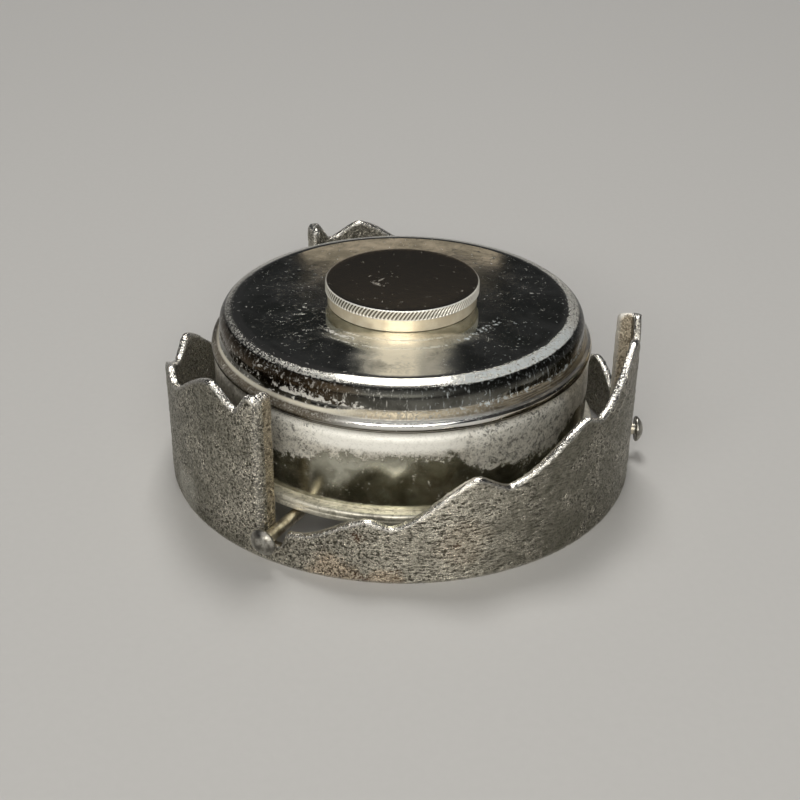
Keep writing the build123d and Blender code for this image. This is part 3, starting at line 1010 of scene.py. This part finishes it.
def wall_finish():
    """Plate of the can and its base: a pale haze below the hem with a painted highlight at its top, dark and
    flecked lower down, a dull rim.
    """
    paint = Paint("plated_sheet")
    crystals = paint.noise(0.5, roughness=0.75, warp=0.8)
    clouds = paint.noise(5, detail=6, roughness=0.62, warp=0.5)
    mottle = paint.noise(1.5, detail=9, roughness=0.76, warp=0.6)
    front = paint.facing(268, 26, 14)
    ragged = paint.swing(clouds, 7) + paint.swing(mottle, 6)
    level = paint.height + ragged + paint.swing(crystals, 3)
    sides = paint.most(paint.facing(234, 8, 8), paint.facing(307, 13, 10))
    haze = paint.step(level + sides * 2.6 - front * 1.7, 17.2, 18.8)
    # Painted highlight just below the hem at the front, near white and less metallic
    glow = paint.facing(265, 14, 20) * paint.step(paint.height, 19.6, 21.8)
    rim = paint.most(paint.step(paint.height, 9.7, 9.3), paint.step(paint.radius, 36.2, 36.5))
    dark = paint.mix(paint.step(clouds, 0.38, 0.62), (0.35, 0.34, 0.27), (0.58, 0.57, 0.475))
    light = paint.mix(paint.step(mottle, 0.36, 0.62), (0.4, 0.37, 0.31), (0.8, 0.76, 0.66))
    # A fainter painted highlight high up at the sides
    upper_sides_highlight = sides * paint.mix(paint.step(paint.height, 20, 22.5), 0.4, 0.85)
    light = paint.mix(paint.most(glow, upper_sides_highlight), light, (1.0, 0.98, 0.9))
    pits = paint.step(crystals, 0.5, 0.4) * paint.mix(glow, 0.6, 0.15)
    light = paint.mix(pits, light, (0.2, 0.18, 0.135))
    paint.colour = paint.mix(haze, dark, light)
    crust = sides * haze * paint.step(mottle + crystals * 0.5, 0.71, 0.65)
    paint.coat(crust * 0.7, (0.12, 0.115, 0.095))
    grit = paint.step(mottle + paint.swing(crystals, 0.6), 0.63, 0.7)
    paint.coat(grit * 0.65, (0.86, 0.84, 0.76))
    rim_tone = paint.mix(paint.step(mottle, 0.36, 0.56), (0.5, 0.475, 0.385), (0.92, 0.88, 0.75))
    paint.coat(rim, rim_tone)
    veiled = paint.most(haze, grit * 0.7)
    rough = paint.mix(veiled, 0.13, 0.42)
    paint.bump(crystals * veiled + mottle * 0.3, distance=0.1, strength=0.8)
    metal = paint.mix(haze, 1.0, paint.mix(glow, 0.55, 0.2))
    return paint.finish(paint.mix(rim, rough, 0.42), paint.mix(rim, metal, 0.6))


def fitting_finish():
    """Satin nickel on the neck, the hub and its rivet, with brown tarnish."""
    paint = Paint("plated_fitting")
    clouds = paint.noise(4, detail=5, roughness=0.6)
    fine = paint.noise(0.4, roughness=0.6)
    paint.colour = paint.mix(paint.step(clouds, 0.4, 0.62), (0.3, 0.26, 0.19), (0.58, 0.55, 0.48))
    paint.coat(paint.step(fine, 0.55, 0.7) * 0.5, (0.2, 0.17, 0.12))
    paint.bump(fine, distance=0.02, strength=0.5)
    return paint.finish(paint.mix(clouds, 0.28, 0.46))


def brass_finish():
    """Nickel worn through to brass on the rods, with pale marks, and grey heads."""
    paint = Paint("worn_brass")
    marks = paint.noise(0.35, roughness=0.6)
    blotch = paint.noise(2.2, roughness=0.6)
    head_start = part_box("arm_1")[1].x / MM - HEAD_RIM - HEAD_DOME
    head = paint.step(paint.radius, head_start - 0.5, head_start - 0.1)
    rod = paint.mix(paint.step(blotch, 0.4, 0.6), (0.4, 0.34, 0.24), (0.84, 0.78, 0.64))
    rod = paint.mix(paint.step(marks, 0.5, 0.7) * 0.6, rod, (0.76, 0.72, 0.62))
    silver = paint.mix(paint.step(blotch, 0.38, 0.6), (0.16, 0.152, 0.135), (0.45, 0.435, 0.39))
    silver = paint.mix(paint.step(marks, 0.5, 0.64) * 0.5, silver, (0.13, 0.115, 0.09))
    paint.bump(marks + blotch, distance=0.05, strength=0.6)
    paint.colour = paint.mix(head, rod, silver)
    return paint.finish(paint.mix(marks, 0.24, 0.44))


def plain_finish(name, roughness, metallic, dark, light, size, depth):
    """Two colours mixed by fine noise of this size, with a bump of this depth."""
    paint = Paint(name)
    grain = paint.noise(size, detail=5, roughness=0.65)
    paint.bump(grain, distance=depth, strength=0.8)
    paint.colour = paint.mix(paint.step(grain, 0.35, 0.65), dark, light)
    return paint.finish(roughness, metallic)


MATERIALS = {
    "cast_ring": cast_finish(),
    "polished_cover": cover_finish(),
    "polished_cap": cap_finish(),
    "plated_sheet": wall_finish(),
    "plated_fitting": fitting_finish(),
    "worn_brass": brass_finish(),
    "gauze": plain_finish("gauze", 0.5, 1.0, (0.1, 0.08, 0.05), (0.36, 0.3, 0.18), 0.4, 0.03),
    "wadding": plain_finish("wadding", 0.95, 0.0, (0.7, 0.67, 0.58), (0.92, 0.9, 0.83), 0.7, 0.15),
    "cap_seal": plain_finish("cap_seal", 0.8, 0.0, (0.07, 0.035, 0.018), (0.19, 0.1, 0.055), 0.5, 0.08),
}


# Scene

def area_light(name, size, azimuth, elevation, distance, radiance, colour):
    """A soft lamp that faces the object, unseen by the camera itself."""
    data = bpy.data.lights.new(name, "AREA")
    data.shape = "RECTANGLE"
    data.size, data.size_y = size
    data.energy = radiance * math.pi * size[0] * size[1]
    data.color = colour
    lamp = bpy.data.objects.new(name, data)
    level = math.radians(elevation)
    lamp.location = Vector(on_circle(math.cos(level), azimuth, math.sin(level))) * distance
    lamp.rotation_euler = (-lamp.location).to_track_quat("-Z", "Y").to_euler()
    lamp.visible_camera = False
    bpy.context.scene.collection.objects.link(lamp)


def make_floor():
    """The plain pale floor."""
    half = FLOOR_SIZE / 2 / MM
    corners = [(-half, -half, 0), (half, -half, 0), (half, half, 0), (-half, half, 0)]
    floor = make_object("floor", corners, [(0, 1, 2, 3)])
    paint = Paint("floor")
    shade = tuple(c * FLOOR_SPECK_SHADE for c in FLOOR_COLOUR)
    paint.colour = paint.mix(paint.noise(1.5, detail=3, roughness=0.5), shade, FLOOR_COLOUR)
    kinds = ("Camera", "Glossy", "Transmission")
    rays = paint.most(*(paint.value(f"Is {kind} Ray", "LightPath") for kind in kinds))
    paint.put(paint.shader.inputs["Emission Color"], HORIZON_COLOUR)
    glow = paint.step(paint.radius, *FAR_FLOOR) * rays
    paint.put(paint.shader.inputs["Emission Strength"], glow)
    floor.data.materials.append(paint.finish(roughness=0.85, metallic=0.0))


def make_camera():
    """The camera at the photograph's viewing angle and focal length."""
    elevation, roll = math.radians(CAMERA_ELEVATION), math.radians(CAMERA_ROLL)
    back = Vector((0, -math.cos(elevation), math.sin(elevation)))
    level_right = Vector((1, 0, 0))
    level_up = back.cross(level_right)
    right = level_right * math.cos(roll) + level_up * math.sin(roll)
    up = level_up * math.cos(roll) - level_right * math.sin(roll)
    shift = right * CAMERA_SHIFT_RIGHT + up * CAMERA_SHIFT_UP
    place_at = (back * CAMERA_DISTANCE - shift) * CAMERA_TARGET_R
    columns = Matrix((right, up, back)).transposed().to_4x4()
    turn = Matrix.Rotation(math.radians(CAMERA_TURN), 4, "Z")
    data = bpy.data.cameras.new("camera")
    data.sensor_width = SENSOR_WIDTH
    data.lens = SENSOR_WIDTH * CAMERA_FOCAL_PIXELS / IMAGE_PIXELS
    camera = bpy.data.objects.new("camera", data)
    camera.matrix_world = turn @ Matrix.Translation(place_at) @ columns
    bpy.context.scene.collection.objects.link(camera)
    bpy.context.scene.camera = camera


def make_light():
    """A dim world with a pale horizon, and the soft lamps."""
    world = bpy.data.worlds.new("world")
    world.use_nodes = True
    tree = world.node_tree
    split = tree.nodes.new("ShaderNodeSeparateXYZ")
    tree.links.new(tree.nodes.new("ShaderNodeTexCoord").outputs["Generated"], split.inputs[0])
    share = tree.nodes.new("ShaderNodeMapRange")
    share.interpolation_type = "SMOOTHSTEP"
    share.inputs["From Min"].default_value, share.inputs["From Max"].default_value = HORIZON_HEIGHTS
    tree.links.new(split.outputs["Z"], share.inputs["Value"])
    sky = tree.nodes.new("ShaderNodeMixRGB")
    sky.inputs["Color1"].default_value = (*HORIZON_COLOUR, 1)
    sky.inputs["Color2"].default_value = (*WORLD_COLOUR, 1)
    tree.links.new(share.outputs["Result"], sky.inputs["Fac"])
    tree.links.new(sky.outputs["Color"], tree.nodes["Background"].inputs["Color"])
    bpy.context.scene.world = world
    for name, settings in LAMPS.items():
        area_light(name, *settings)
    bpy.context.scene.view_settings.view_transform = "Standard"


make_camera()
make_floor()
make_light()

place(make_ring(), "stand", "cast_ring", "stand_ring")
place(make_can(), "burner", "plated_sheet", "burner_can")
place(make_base(), "burner", "plated_sheet", "base_disc")
place(make_cover(), "cover", "polished_cover", "top_cover")
place(make_cap(), "cap", "polished_cover", "screw_cap", finish="polished_cap")
place(make_wadding(), "burner", "wadding", "wadding")
place(make_fibres(), "burner", "wadding")
place(make_gauze(), "cover", "gauze", "gauze_disc")
for number in range(ARM_COUNT):
    place(make_arm(number), "arms", "worn_brass", f"arm_{number + 1}")

kept_nodes = {
    "arm_hub": "plated_fitting",
    "hub_rivet": "plated_fitting",
    "neck": "plated_fitting",
    "hub_spacer": "worn_brass",
    "gauze_ring": "worn_brass",
    "cap_washer": "cap_seal",
}
for kept_node, kept_slot in kept_nodes.items():
    give_finish(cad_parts[kept_node], kept_slot)
